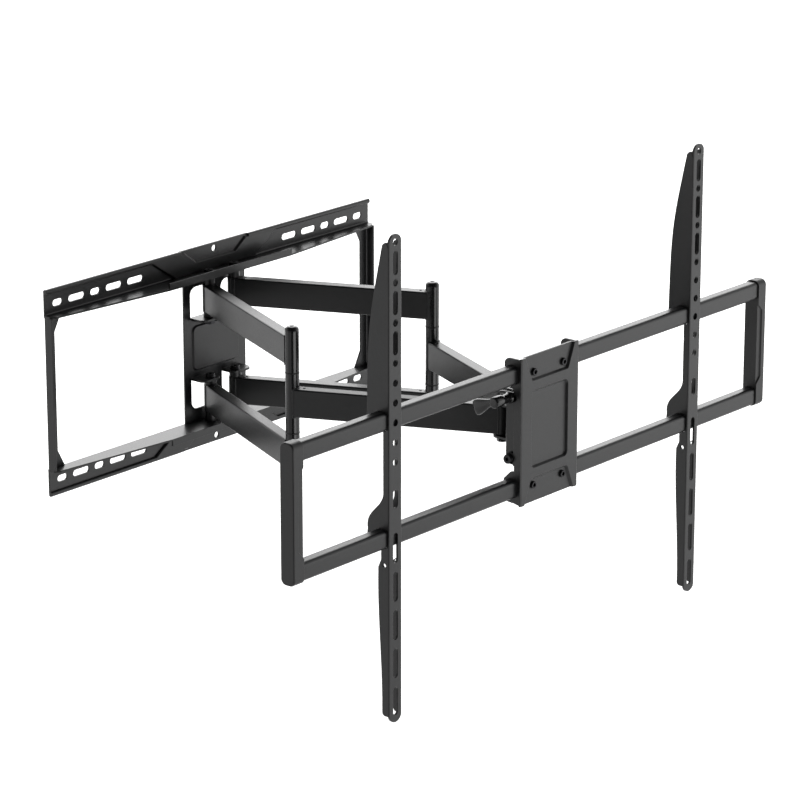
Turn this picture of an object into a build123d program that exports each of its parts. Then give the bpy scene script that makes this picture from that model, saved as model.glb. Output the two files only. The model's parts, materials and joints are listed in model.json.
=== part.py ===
from build123d import *
import math
import os

os.makedirs("parts", exist_ok=True)

# Full motion TV wall mount. Millimetres, +Z up.
# The origin is the centre of the wall plate on the wall plane.
# The wall is the plane Y = 0 and the television side is toward -Y.

# ---- sheet and fasteners
SHEET = 2.5
HEAVY = 3.0
RUNNING_FIT = 0.06
APART = 0.35
BOLT_D = 8.0
BOLT_HEAD_D = 14.0
BOLT_HEAD_H = 4.5
HEX_KEY = 5.0
NUT_FLATS = 13.0
NUT_H = 6.0
NUT_FLANGE_H = 1.2

# ---- wall plate
WALL_HALF_W = 322.0
SLOT_ROW_Z = 120.0
SLOT_X = (298.5, 263.5, 229.0, 194.0, 153.5)
SLOT_LENGTH = (18.0, 30.0, 18.0, 30.0, 30.0)
SLOT_W = 9.0
CENTRE_HOLE_Z = 133.0
CENTRE_HOLE_D = 9.0
RAIL_TOP_Z = 141.0
BEAD_W = 6.0
BEAD_H = 6.5
SHELF_TOP_Z = 106.0
SHELF_Z = SHELF_TOP_Z - SHEET
SHELF_DEEP = 36.0
SHELF_SHALLOW = 17.0
SHELF_FLAT_X = 120.0
SHELF_END_X = 314.0
LIP_HALF_W = 122.0
LIP_H = 10.0
PRESS_FRONT = 6.0
BADGE_DEPTH = 3.0
BADGE_HALF_W = 67.0

# ---- side struts
STRUT_LEG = 16.5
STRUT_DEPTH = 14.0
GUSSET_LEG = 28.5
GUSSET_H = 22.5

# ---- pivot plate in the middle of the wall plate
PIVOT_PLATE_HALF_W = 61.0
WINDOW_IN_X = 12.5
WINDOW_OUT_X = 48.5
WINDOW_TOP_Z = 86.0
EAR_Z = 44.0
EAR_DEPTH = 27.0
PAD_HALF_W = 46.0
PAD_HALF_H = 32.0
PAD_H = 2.4

# ---- linkage: four equal arms, equal pivot spacing at the wall and at the head
PIVOT_X = 25.0
WALL_PIVOT_Y = -16.0
ARM_L = 280.0
REST_ANGLE = 24.7
ARM_W = 18.0
ARM_H = 38.0
ARM_WALL = 2.0
POST_D = 18.5
REAR_ARM_Z = 70.5
FRONT_ARM_Z = 1.0
RING_Z = 40.0
POST_TOP_Z = 97.0
PIN_D = 12.0
BUSH_D = 14.0
RING_H = 1.0
DRAIN_D = 4.0
CAP_H = 5.6

# ---- head bracket that ends the front arms
HEAD_PIVOT_Y = WALL_PIVOT_Y - 2 * ARM_L * math.cos(math.radians(REST_ANGLE))
TONGUE_HALF_W = 37.0
WEB_BACK_Y = -552.0
CHEEK_IN_X = 53.5
CHEEK_FRONT_Y = -567.5
CHEEK_TOP_Z = 54.0
CHEEK_BOTTOM_Z = -45.0
TILT_Y = -563.5
TILT_Z = -36.0
CLAMP_Z = 45.0
TILT_FORWARD = 10.0
TILT_BACK = 4.0

# ---- tilting head: plate, two tubes and end caps
PLATE_FRONT_Y = -582.0
PLATE_HALF_W = 59.2
PLATE_HALF_H = 97.5
PLATE_RECESS = 3.3
BRACKET_FACE_Y = PLATE_FRONT_Y + PLATE_RECESS
SCREW_X = 30.0
TUBE_Z = 75.0
TUBE_H = 24.0
TUBE_D = 18.0
TUBE_R = 5.0
TUBE_WALL = 2.0
TUBE_FRONT_Y = BRACKET_FACE_Y + HEAVY
TUBE_MID_Y = TUBE_FRONT_Y + TUBE_D / 2
TUBE_BACK_Y = TUBE_FRONT_Y + TUBE_D
CAP_OUT_X = 485.0
CAP_IN_X = 467.0
CAP_RELIEF_X = 476.5
CAP_RELIEF = 1.8
CAP_HALF_H = 89.0
CAP_SKIN = 2.0

# ---- TV brackets, both alike
BRACKET_X = (-301.0, 317.0)
BRACKET_W = 24.0
BRACKET_TOP_Z = 307.5
BRACKET_BOTTOM_Z = -315.5
BRACKET_FRONT_Y = BRACKET_FACE_Y - APART
HOLE_D = 9.0
ROUND_Z = (297.5, 247.5, 197.5, 147.5, 122.5, 97.5, 72.5, 47.5, 22.5)
SHORT_SLOTS = ((272.0, 30.0), (222.5, 30.0), (172.5, 30.0), (-24.5, 24.0))
LONG_SLOTS = ((-87.5, 39.0), (-137.5, 39.0), (-187.5, 39.0), (-237.5, 39.0), (-287.7, 37.0))
LOCK_HOLE_Y = -571.0
LOCK_HOLE_Z = -109.0
LOCK_HOLE_D = 5.5


def save(builder, label):
    """Label a finished piece and write its STEP file."""
    builder.part.label = label
    export_step(builder.part, f"parts/{label}.step")


def shelf_outline(half_w):
    """Plan of a rail shelf: deep in the middle, shallow at its ends."""
    return [
        (-half_w, 0),
        (-half_w, -SHELF_SHALLOW + 6),
        (-SHELF_END_X, -SHELF_SHALLOW),
        (-SHELF_FLAT_X, -SHELF_DEEP),
        (SHELF_FLAT_X, -SHELF_DEEP),
        (SHELF_END_X, -SHELF_SHALLOW),
        (half_w, -SHELF_SHALLOW + 6),
        (half_w, 0),
    ]


# ------------------------------------------------------------------ wall plate
def build_rail(label, up):
    """Pressed rail: slotted face, rolled bead, shelf with a turned lip and a pressed middle."""
    face_low = SHELF_Z
    face_high = RAIL_TOP_Z - BEAD_H / 2
    press_low = SHELF_TOP_Z
    press = [(-128, face_high), (-80, press_low), (80, press_low), (128, face_high)]
    recess = [(-118, face_high - 3), (-74, press_low + 4), (74, press_low + 4), (118, face_high - 3)]
    badge = [(-70, RAIL_TOP_Z + 2), (-39, 120.5), (39, 120.5), (70, RAIL_TOP_Z + 2)]
    badge_back = [(-76, RAIL_TOP_Z), (-41.5, 117.5), (41.5, 117.5), (76, RAIL_TOP_Z)]

    with BuildPart() as rail:
        with BuildSketch(Plane.XZ):
            with Locations((0, up * (face_low + face_high) / 2)):
                Rectangle(2 * WALL_HALF_W, face_high - face_low)
        extrude(amount=SHEET)
        with BuildSketch(Plane.XZ):
            Polygon(*[(x, up * z) for x, z in press], align=None)
        extrude(amount=PRESS_FRONT)
        front = rail.faces().sort_by(Axis.Y)[0]
        chamfer(front.edges(), length=1.5)
        with BuildSketch(Plane.XZ.offset(PRESS_FRONT)):
            Polygon(*[(x, up * z) for x, z in badge], align=None)
        extrude(amount=-BADGE_DEPTH, taper=38, mode=Mode.SUBTRACT)
        with BuildSketch(Plane.YZ.offset(-WALL_HALF_W)):
            with Locations((-BEAD_W / 2, up * (RAIL_TOP_Z - BEAD_H / 2))):
                RectangleRounded(BEAD_W, BEAD_H, 2.6)
        extrude(amount=WALL_HALF_W - BADGE_HALF_W)
        with BuildSketch(Plane.YZ.offset(BADGE_HALF_W)):
            with Locations((-BEAD_W / 2, up * (RAIL_TOP_Z - BEAD_H / 2))):
                RectangleRounded(BEAD_W, BEAD_H, 2.6)
        extrude(amount=WALL_HALF_W - BADGE_HALF_W)
        with BuildSketch(Plane.XZ):
            with Locations((0, up * (RAIL_TOP_Z - BEAD_H / 2))):
                Rectangle(2 * BADGE_HALF_W, BEAD_H)
        extrude(amount=PRESS_FRONT - BADGE_DEPTH)
        with BuildSketch(Plane.XY.offset(SHELF_Z if up > 0 else -SHELF_TOP_Z)):
            Polygon(*shelf_outline(WALL_HALF_W), align=None)
        extrude(amount=SHEET)
        lip_low = SHELF_Z if up > 0 else -SHELF_Z - LIP_H
        with BuildSketch(Plane.XY.offset(lip_low)):
            with Locations((0, -SHELF_DEEP + SHEET / 2)):
                Rectangle(2 * LIP_HALF_W, SHEET)
        extrude(amount=LIP_H)
        with BuildSketch(Plane.XZ):
            Polygon(*[(x, up * z) for x, z in recess], align=None)
            Polygon(*[(x, up * z) for x, z in badge_back], align=None, mode=Mode.SUBTRACT)
        extrude(amount=PRESS_FRONT - SHEET, mode=Mode.SUBTRACT)
        with BuildSketch(Plane.XZ):
            for x, length in zip(SLOT_X, SLOT_LENGTH):
                with Locations((x, up * SLOT_ROW_Z), (-x, up * SLOT_ROW_Z)):
                    SlotOverall(length, SLOT_W)
            with Locations((0, up * CENTRE_HOLE_Z)):
                Circle(CENTRE_HOLE_D / 2)
        extrude(amount=2 * PRESS_FRONT, mode=Mode.SUBTRACT)
        with BuildSketch(Plane.XY.offset(-SHELF_TOP_Z - 1)):
            with Locations((PIVOT_X, WALL_PIVOT_Y), (-PIVOT_X, WALL_PIVOT_Y)):
                Circle(BOLT_D / 2 + RUNNING_FIT)
        extrude(amount=2 * SHELF_TOP_Z + 2, mode=Mode.SUBTRACT)
        bend = rail.edges().filter_by(Axis.X).filter_by_position(Axis.Y, -SHEET - 0.01, -SHEET + 0.01)
        bend = bend.filter_by(lambda e: abs(abs(e.center().Z) - SHELF_TOP_Z) < 0.01)
        fillet(bend, radius=2.0)
    save(rail, label)


build_rail("top_rail", 1)
build_rail("bottom_rail", -1)


def build_strut(label, side):
    """L-section strut between the rails, flared into a gusset at each end."""
    outer = WALL_HALF_W
    inner = WALL_HALF_W - STRUT_LEG
    tip = WALL_HALF_W - GUSSET_LEG
    waist = SHELF_Z - GUSSET_H
    leg = [
        (outer, -SHELF_Z),
        (outer, SHELF_Z),
        (tip, SHELF_Z),
        (inner, waist),
        (inner, -waist),
        (tip, -SHELF_Z),
    ]
    with BuildPart() as strut:
        with BuildSketch(Plane.XZ):
            Polygon(*[(side * x, z) for x, z in leg], align=None)
        extrude(amount=SHEET)
        with BuildSketch(Plane.XY.offset(-SHELF_Z)):
            with Locations((side * (outer - SHEET / 2), -STRUT_DEPTH / 2)):
                Rectangle(SHEET, STRUT_DEPTH)
        extrude(amount=2 * SHELF_Z)
        bend = strut.edges().filter_by(Axis.Z).filter_by_position(Axis.Y, -SHEET - 0.01, -SHEET + 0.01)
        bend = bend.filter_by(lambda e: abs(abs(e.center().X) - (outer - SHEET)) < 0.01)
        fillet(bend, radius=2.5)
        corner = strut.edges().filter_by(Axis.Z).filter_by_position(Axis.Y, -0.01, 0.01)
        corner = corner.filter_by(lambda e: abs(abs(e.center().X) - outer) < 0.01)
        fillet(corner, radius=2.0)
    save(strut, label)


build_strut("left_strut", -1)
build_strut("right_strut", 1)

window_mid = (WINDOW_IN_X + WINDOW_OUT_X) / 2
window_w = WINDOW_OUT_X - WINDOW_IN_X
window_h = WINDOW_TOP_Z - EAR_Z
with BuildPart() as pivot_plate:
    with BuildSketch(Plane.XZ):
        Rectangle(2 * PIVOT_PLATE_HALF_W, 2 * SHELF_Z)
    extrude(amount=SHEET)
    with BuildSketch(Plane.XZ.offset(SHEET)):
        RectangleRounded(2 * PAD_HALF_W, 2 * PAD_HALF_H, 9)
    extrude(amount=PAD_H, taper=35)
    for side in (-1, 1):
        for up in (-1, 1):
            with BuildSketch(Plane.XZ):
                with Locations((side * window_mid, up * (EAR_Z + window_h / 2))):
                    Rectangle(window_w, window_h)
            extrude(amount=SHEET, mode=Mode.SUBTRACT)
            ear_low = EAR_Z - HEAVY if up > 0 else -EAR_Z
            with BuildSketch(Plane.XY.offset(ear_low)):
                with Locations((side * window_mid, -EAR_DEPTH / 2)):
                    Rectangle(window_w, EAR_DEPTH)
            extrude(amount=HEAVY)
    outer_corners = pivot_plate.edges().filter_by(Axis.Z).group_by(Axis.Y)[0]
    fillet(outer_corners, radius=10)
    window_corners = pivot_plate.edges().filter_by(Axis.Y)
    window_corners = window_corners.filter_by(lambda e: abs(abs(e.center().Z) - WINDOW_TOP_Z) < 0.01)
    fillet(window_corners, radius=11)
    with BuildSketch(Plane.XY.offset(-EAR_Z - 1)):
        with Locations((PIVOT_X, WALL_PIVOT_Y), (-PIVOT_X, WALL_PIVOT_Y)):
            Circle(BOLT_D / 2 + RUNNING_FIT)
    extrude(amount=2 * EAR_Z + 2, mode=Mode.SUBTRACT)
save(pivot_plate, "pivot_plate")


# ------------------------------------------------------------------ fasteners
def button_bolt(plane, length):
    """Button-head bolt in the current part: head on the plane, shank against its normal."""
    with BuildSketch(plane) as head:
        Circle(BOLT_HEAD_D / 2)
    extrude(head.sketch, amount=BOLT_HEAD_H, taper=14)
    with BuildSketch(plane) as shank:
        Circle(BOLT_D / 2)
    extrude(shank.sketch, amount=-length)
    with BuildSketch(plane.offset(BOLT_HEAD_H)) as socket:
        RegularPolygon(HEX_KEY / 2, 6, major_radius=False)
    extrude(socket.sketch, amount=-BOLT_HEAD_H * 0.6, mode=Mode.SUBTRACT)


def hex_nut(plane, flange_ratio=0.62):
    """Flanged nut in the current part: washer face on the plane, body along its normal."""
    with BuildSketch(plane) as flange:
        Circle(NUT_FLATS * flange_ratio)
        Circle(BOLT_D / 2, mode=Mode.SUBTRACT)
    extrude(flange.sketch, amount=NUT_FLANGE_H)
    with BuildSketch(plane.offset(NUT_FLANGE_H)) as body:
        RegularPolygon(NUT_FLATS / 2, 6, major_radius=False)
        Circle(BOLT_D / 2, mode=Mode.SUBTRACT)
    extrude(body.sketch, amount=NUT_H - NUT_FLANGE_H)


def down(x, y, z):
    """Plane at a point whose normal is -Z."""
    return Plane(origin=(x, y, z), x_dir=(1, 0, 0), z_dir=(0, 0, -1))


def level(x, y, z):
    """Plane at a point whose normal is +Z."""
    return Plane(origin=(x, y, z), x_dir=(1, 0, 0), z_dir=(0, 0, 1))


def sideways(x, y, z, side):
    """Plane at a point whose normal is +X or -X."""
    return Plane(origin=(x, y, z), x_dir=(0, 1, 0), z_dir=(side, 0, 0))


upper_grip = SHELF_TOP_Z - (EAR_Z - HEAVY)
with BuildPart() as wall_pivot_bolts:
    for x in (-PIVOT_X, PIVOT_X):
        button_bolt(level(x, WALL_PIVOT_Y, SHELF_TOP_Z), upper_grip + NUT_H + 1)
        button_bolt(level(x, WALL_PIVOT_Y, -EAR_Z + HEAVY), upper_grip + NUT_H + 1)
save(wall_pivot_bolts, "wall_pivot_bolts")

with BuildPart() as wall_pivot_nuts:
    for x in (-PIVOT_X, PIVOT_X):
        hex_nut(down(x, WALL_PIVOT_Y, EAR_Z - HEAVY))
        hex_nut(down(x, WALL_PIVOT_Y, -SHELF_TOP_Z))
save(wall_pivot_nuts, "wall_pivot_nuts")


# ------------------------------------------------------------------ arms
def elbow_point(side):
    """Plan position of an elbow axis at rest."""
    angle = math.radians(REST_ANGLE)
    return (side * (PIVOT_X + ARM_L * math.sin(angle)), WALL_PIVOT_Y - ARM_L * math.cos(angle))


def tube_between(start, end, mid_z, hollow_from, hollow_to):
    """Rectangular tube in the current part from one axis to the next, closed at both ends."""
    x_dir = (end[0] - start[0], end[1] - start[1], 0)
    low = Plane(origin=(start[0], start[1], mid_z - ARM_H / 2), x_dir=x_dir, z_dir=(0, 0, 1))
    with BuildSketch(low) as outside:
        with Locations((ARM_L / 2, 0)):
            Rectangle(ARM_L, ARM_W)
    extrude(outside.sketch, amount=ARM_H)
    long_edges = edges().filter_by(Axis((0, 0, 0), x_dir))
    fillet(long_edges, radius=2.0)
    with BuildSketch(low.offset(ARM_WALL)) as inside:
        with Locations(((hollow_from + hollow_to) / 2, 0)):
            Rectangle(hollow_to - hollow_from, ARM_W - 2 * ARM_WALL)
    extrude(inside.sketch, amount=ARM_H - 2 * ARM_WALL, mode=Mode.SUBTRACT)
    with BuildSketch(low.offset(ARM_H)) as drains:
        with Locations((hollow_to - 4, 0), (hollow_from + 4, 0)):
            Circle(DRAIN_D / 2)
    extrude(drains.sketch, amount=-2 * ARM_WALL, mode=Mode.SUBTRACT)


def sleeve(point, low_z, high_z):
    """Solid round sleeve in the current part, bored later."""
    with BuildSketch(level(point[0], point[1], low_z)) as post:
        Circle(POST_D / 2)
    extrude(post.sketch, amount=high_z - low_z)


def bore(point, low_z, high_z, diameter):
    """Round bore in the current part."""
    with BuildSketch(level(point[0], point[1], low_z)) as hole:
        Circle(diameter / 2)
    extrude(hole.sketch, amount=high_z - low_z, mode=Mode.SUBTRACT)


def flanged_bush(point, face_z, reach, flange_h, up, flange_d):
    """Plastic bush in the current part: flange on face_z, barrel reaching the other way."""
    plane = level(*point, face_z) if up > 0 else down(*point, face_z)
    with BuildSketch(plane) as flange:
        Circle(flange_d / 2)
        Circle(BOLT_D / 2 + RUNNING_FIT, mode=Mode.SUBTRACT)
    extrude(flange.sketch, amount=flange_h)
    with BuildSketch(plane) as barrel:
        Circle(PIN_D / 2)
        Circle(BOLT_D / 2 + RUNNING_FIT, mode=Mode.SUBTRACT)
    extrude(barrel.sketch, amount=-reach)


def build_rear_arm(label, side, up):
    """Rear arm: tube, wall-end sleeve and the elbow post segment above or below the front arm."""
    wall_point = (side * PIVOT_X, WALL_PIVOT_Y)
    elbow = elbow_point(side)
    mid_z = up * REAR_ARM_Z
    ends = sorted((up * (RING_Z + RING_H + APART), up * POST_TOP_Z))
    with BuildPart() as arm:
        tube_between(wall_point, elbow, mid_z, POST_D / 2 + 3, ARM_L - POST_D / 2 - 3)
        sleeve(wall_point, mid_z - ARM_H / 2, mid_z + ARM_H / 2)
        sleeve(elbow, ends[0], ends[1])
        bore(wall_point, mid_z - ARM_H / 2 - 1, mid_z + ARM_H / 2 + 1, PIN_D)
        bore(elbow, ends[0] - 1, ends[1] + 1, PIN_D)
    save(arm, label)


def build_front_arm(label, side):
    """Front arm: tube, elbow post segment and the head-end sleeve."""
    elbow = elbow_point(side)
    head_point = (side * PIVOT_X, HEAD_PIVOT_Y)
    low = FRONT_ARM_Z - ARM_H / 2
    with BuildPart() as arm:
        tube_between(elbow, head_point, FRONT_ARM_Z, POST_D / 2 + 3, ARM_L - POST_D / 2 - 3)
        sleeve(elbow, -RING_Z, RING_Z)
        sleeve(head_point, low, low + ARM_H)
        bore(elbow, -RING_Z - 1, RING_Z + 1, BUSH_D)
        bore(head_point, low - 1, low + ARM_H + 1, PIN_D)
    save(arm, label)


for side, hand in ((-1, "left"), (1, "right")):
    build_rear_arm(f"{hand}_rear_upper_arm", side, 1)
    build_rear_arm(f"{hand}_rear_lower_arm", side, -1)
    build_front_arm(f"{hand}_front_arm", side)

    # Spacer bushes fill the space between each rear arm and the sheet above and below it.
    wall_point = (side * PIVOT_X, WALL_PIVOT_Y)
    arm_top = REAR_ARM_Z + ARM_H / 2
    arm_bottom = REAR_ARM_Z - ARM_H / 2
    with BuildPart() as wall_bushes:
        for up in (-1, 1):
            flanged_bush(wall_point, up * arm_top, 12, SHELF_Z - arm_top - APART, up, POST_D - 3)
            flanged_bush(wall_point, up * arm_bottom, 12, arm_bottom - EAR_Z - APART, -up, POST_D - 2)
    save(wall_bushes, f"{hand}_wall_bushes")

    # One pin joins the post segments, and domed plugs close it.
    elbow = elbow_point(side)
    pin_half = POST_TOP_Z - 3
    with BuildPart() as elbow_pin:
        with BuildSketch(level(*elbow, -pin_half)):
            Circle(PIN_D / 2)
        extrude(amount=2 * pin_half)
        chamfer(elbow_pin.edges().filter_by(GeomType.CIRCLE), length=0.8)
    save(elbow_pin, f"{hand}_elbow_pin")

    with BuildPart() as elbow_caps:
        for up in (-1, 1):
            face = level(*elbow, POST_TOP_Z) if up > 0 else down(*elbow, -POST_TOP_Z)
            with BuildSketch(face):
                Circle(POST_D / 2)
            extrude(amount=CAP_H)
            with BuildSketch(face):
                Circle(PIN_D / 2)
            extrude(amount=-3)
        rims = elbow_caps.edges().filter_by(GeomType.CIRCLE)
        rims = rims.filter_by(lambda e: abs(abs(e.center().Z) - POST_TOP_Z - CAP_H) < 0.01)
        fillet(rims, radius=CAP_H - 0.4)
        for up in (-1, 1):
            face = level(*elbow, POST_TOP_Z + CAP_H) if up > 0 else down(*elbow, -POST_TOP_Z - CAP_H)
            with BuildSketch(face):
                RegularPolygon(2.5, 6, major_radius=False)
            extrude(amount=-2.2, mode=Mode.SUBTRACT)
    save(elbow_caps, f"{hand}_elbow_caps")

    with BuildPart() as elbow_bushes:
        for up in (-1, 1):
            face = level(*elbow, RING_Z) if up > 0 else down(*elbow, -RING_Z)
            with BuildSketch(face):
                Circle(POST_D / 2 + 0.3)
                Circle(PIN_D / 2 + RUNNING_FIT, mode=Mode.SUBTRACT)
            extrude(amount=RING_H)
            with BuildSketch(face):
                Circle(BUSH_D / 2)
                Circle(PIN_D / 2 + RUNNING_FIT, mode=Mode.SUBTRACT)
            extrude(amount=-18)
    save(elbow_bushes, f"{hand}_elbow_bushes")

    head_point = (side * PIVOT_X, HEAD_PIVOT_Y)
    with BuildPart() as head_bushes:
        flanged_bush(head_point, FRONT_ARM_Z + ARM_H / 2, 12, RING_H, 1, POST_D - 1)
        flanged_bush(head_point, FRONT_ARM_Z - ARM_H / 2, 12, RING_H, -1, POST_D - 1)
    save(head_bushes, f"{hand}_head_bushes")


# ------------------------------------------------------------------ head bracket
tongue_gap = ARM_H / 2 + RING_H + APART
tongue_top = FRONT_ARM_Z + tongue_gap
tongue_bottom = FRONT_ARM_Z - tongue_gap
inner_cheek = [
    (WEB_BACK_Y, CHEEK_BOTTOM_Z),
    (WEB_BACK_Y, CHEEK_TOP_Z),
    (CHEEK_FRONT_Y, CHEEK_TOP_Z),
    (-572.0, 20.0),
    (-572.0, CHEEK_BOTTOM_Z + 2),
    (-569.0, CHEEK_BOTTOM_Z),
]
with BuildPart() as pivot_bracket:
    with BuildSketch(Plane.XZ.offset(-WEB_BACK_Y)):
        with Locations((0, (CHEEK_TOP_Z + CHEEK_BOTTOM_Z) / 2)):
            Rectangle(2 * CHEEK_IN_X, CHEEK_TOP_Z - CHEEK_BOTTOM_Z)
    extrude(amount=HEAVY)
    for side in (-1, 1):
        with BuildSketch(Plane.YZ.offset(side * CHEEK_IN_X)):
            Polygon(*inner_cheek, align=None)
        extrude(amount=-side * HEAVY)
    for low_z in (tongue_top, tongue_bottom - HEAVY):
        with BuildSketch(level(0, 0, low_z)):
            with Locations((0, (WEB_BACK_Y + HEAD_PIVOT_Y + 11) / 2)):
                Rectangle(2 * TONGUE_HALF_W, HEAD_PIVOT_Y + 11 - WEB_BACK_Y)
        extrude(amount=HEAVY)
    tongue_corners = pivot_bracket.edges().filter_by(Axis.Z).group_by(Axis.Y)[-1]
    fillet(tongue_corners, radius=11)
    cheek_corners = pivot_bracket.edges().filter_by(Axis.X)
    cheek_corners = cheek_corners.filter_by(lambda e: e.center().Y < -566 and abs(e.center().Z) > 40)
    fillet(cheek_corners, radius=1.5)
    bends = pivot_bracket.edges().filter_by(Axis.Z)
    bends = bends.filter_by(lambda e: abs(abs(e.center().X) - CHEEK_IN_X) < 0.01)
    bends = bends.filter_by(lambda e: e.center().Y > WEB_BACK_Y - 0.01)
    fillet(bends, radius=2.4)
    with BuildSketch(level(0, 0, -SHELF_Z)):
        with Locations((PIVOT_X, HEAD_PIVOT_Y), (-PIVOT_X, HEAD_PIVOT_Y)):
            Circle(BOLT_D / 2 + RUNNING_FIT)
    extrude(amount=2 * SHELF_Z, mode=Mode.SUBTRACT)
    with BuildSketch(Plane.YZ.offset(-CHEEK_IN_X - 1)):
        with Locations((TILT_Y, TILT_Z), (TILT_Y, CLAMP_Z)):
            Circle(BOLT_D / 2 + RUNNING_FIT)
    extrude(amount=2 * CHEEK_IN_X + 2, mode=Mode.SUBTRACT)
save(pivot_bracket, "pivot_bracket")

tongue_grip = tongue_top - tongue_bottom + 2 * HEAVY
with BuildPart() as head_pivot_bolts:
    for x in (-PIVOT_X, PIVOT_X):
        button_bolt(level(x, HEAD_PIVOT_Y, tongue_top + HEAVY), tongue_grip + NUT_H + 1)
save(head_pivot_bolts, "head_pivot_bolts")

with BuildPart() as head_pivot_nuts:
    for x in (-PIVOT_X, PIVOT_X):
        hex_nut(down(x, HEAD_PIVOT_Y, tongue_bottom - HEAVY), 0.55)
save(head_pivot_nuts, "head_pivot_nuts")

WASHER_H = PLATE_HALF_W - HEAVY - CHEEK_IN_X - APART
with BuildPart() as tilt_washers:
    for side in (-1, 1):
        for z in (TILT_Z, CLAMP_Z):
            with BuildSketch(sideways(side * CHEEK_IN_X, TILT_Y, z, side)):
                Circle(8)
                Circle(BOLT_D / 2, mode=Mode.SUBTRACT)
            extrude(amount=WASHER_H)
save(tilt_washers, "tilt_washers")

HEAD_SEAT_X = PLATE_HALF_W + APART
with BuildPart() as tilt_pivot_bolts:
    for side in (-1, 1):
        shank = HEAD_SEAT_X - CHEEK_IN_X + HEAVY + NUT_H + 1
        button_bolt(sideways(side * HEAD_SEAT_X, TILT_Y, TILT_Z, side), shank)
save(tilt_pivot_bolts, "tilt_pivot_bolts")

with BuildPart() as tilt_nuts:
    for side in (-1, 1):
        hex_nut(sideways(side * (CHEEK_IN_X - HEAVY), TILT_Y, TILT_Z, -side))
save(tilt_nuts, "tilt_nuts")

# A riveted pin guides the right cheek in its arc slot.
with BuildPart() as guide_pin:
    with BuildSketch(sideways(CHEEK_IN_X - HEAVY - 1.5, TILT_Y, CLAMP_Z, 1)):
        Circle(BOLT_D / 2)
    extrude(amount=PLATE_HALF_W - CHEEK_IN_X + HEAVY + 1.5)
    with BuildSketch(sideways(CHEEK_IN_X - HEAVY - 2.5, TILT_Y, CLAMP_Z, 1)):
        Circle(6)
    extrude(amount=2.5)
    chamfer(guide_pin.faces().sort_by(Axis.X)[-1].edges(), length=0.8)
save(guide_pin, "guide_pin")

# The clamp stud has a square head inside the bracket and a thread for the lever outside it.
STUD_END_X = -84.0
with BuildPart() as clamp_stud:
    with BuildSketch(sideways(-CHEEK_IN_X + HEAVY, TILT_Y, CLAMP_Z, 1)):
        RectangleRounded(14, 14, 2)
    extrude(amount=4)
    with BuildSketch(sideways(-CHEEK_IN_X + HEAVY, TILT_Y, CLAMP_Z, -1)):
        Circle(BOLT_D / 2)
    extrude(amount=-CHEEK_IN_X + HEAVY - STUD_END_X)
save(clamp_stud, "clamp_stud")

# Clamp lever: a stepped hub on the stud and a paddle that widens away from it.
LEVER_OUT_X = -93.0
LEVER_IN_X = -84.5
LEVER_SEAT_X = -HEAD_SEAT_X
paddle = [(-567.0, 50.5), (-530.5, 45.0), (-530.5, 18.5), (-567.0, 38.5)]
with BuildPart() as clamp_lever:
    with BuildSketch(Plane.YZ.offset(LEVER_OUT_X)):
        Polygon(*paddle, align=None)
        fillet(vertices().group_by(Axis.X)[-1], radius=3)
    extrude(amount=LEVER_IN_X - LEVER_OUT_X)
    chamfer(clamp_lever.faces().sort_by(Axis.X)[0].edges(), length=1.0)
    with BuildSketch(sideways(LEVER_SEAT_X, TILT_Y, CLAMP_Z, -1)):
        Circle(8.2)
    extrude(amount=2.0)
    with BuildSketch(sideways(LEVER_SEAT_X - 2.0, TILT_Y, CLAMP_Z, -1)):
        Circle(6.6)
    extrude(amount=LEVER_SEAT_X - 2.0 - LEVER_IN_X)
    with BuildSketch(sideways(LEVER_IN_X + 8.0, TILT_Y, CLAMP_Z, -1)):
        Circle(8.0)
    extrude(amount=LEVER_IN_X + 8.0 - LEVER_OUT_X)
    with BuildSketch(sideways(LEVER_SEAT_X, TILT_Y, CLAMP_Z, -1)):
        Circle(BOLT_D / 2)
    extrude(amount=LEVER_SEAT_X - STUD_END_X, mode=Mode.SUBTRACT)
save(clamp_lever, "clamp_lever")


# ------------------------------------------------------------------ tilting head
def tube_section():
    """Outer section of a head tube in the current YZ sketch."""
    RectangleRounded(TUBE_D, TUBE_H, TUBE_R)


def build_tube(label, mid_z):
    """Rounded rectangular tube across the head."""
    half = CAP_OUT_X - CAP_SKIN
    with BuildPart() as tube:
        with BuildSketch(Plane.YZ.offset(-half)):
            with Locations((TUBE_MID_Y, mid_z)):
                tube_section()
        extrude(amount=2 * half)
        with BuildSketch(Plane.YZ.offset(-half)):
            with Locations((TUBE_MID_Y, mid_z)):
                RectangleRounded(TUBE_D - 2 * TUBE_WALL, TUBE_H - 2 * TUBE_WALL, TUBE_R - TUBE_WALL)
        extrude(amount=2 * half, mode=Mode.SUBTRACT)
        with BuildSketch(Plane.XZ.offset(-TUBE_FRONT_Y)):
            with Locations((-SCREW_X, mid_z), (SCREW_X, mid_z)):
                Circle(3)
        extrude(amount=-TUBE_WALL - 1, mode=Mode.SUBTRACT)
    save(tube, label)


build_tube("upper_tube", TUBE_Z)
build_tube("lower_tube", -TUBE_Z)

# Arc slot in the plate cheek, centred on the tilt axis.
clamp_radius = CLAMP_Z - TILT_Z


def on_arc(degrees, radius):
    """Point in YZ on a circle about the tilt axis, measured from straight up toward the wall."""
    angle = math.radians(degrees)
    return (TILT_Y + radius * math.sin(angle), TILT_Z + radius * math.cos(angle))


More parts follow.
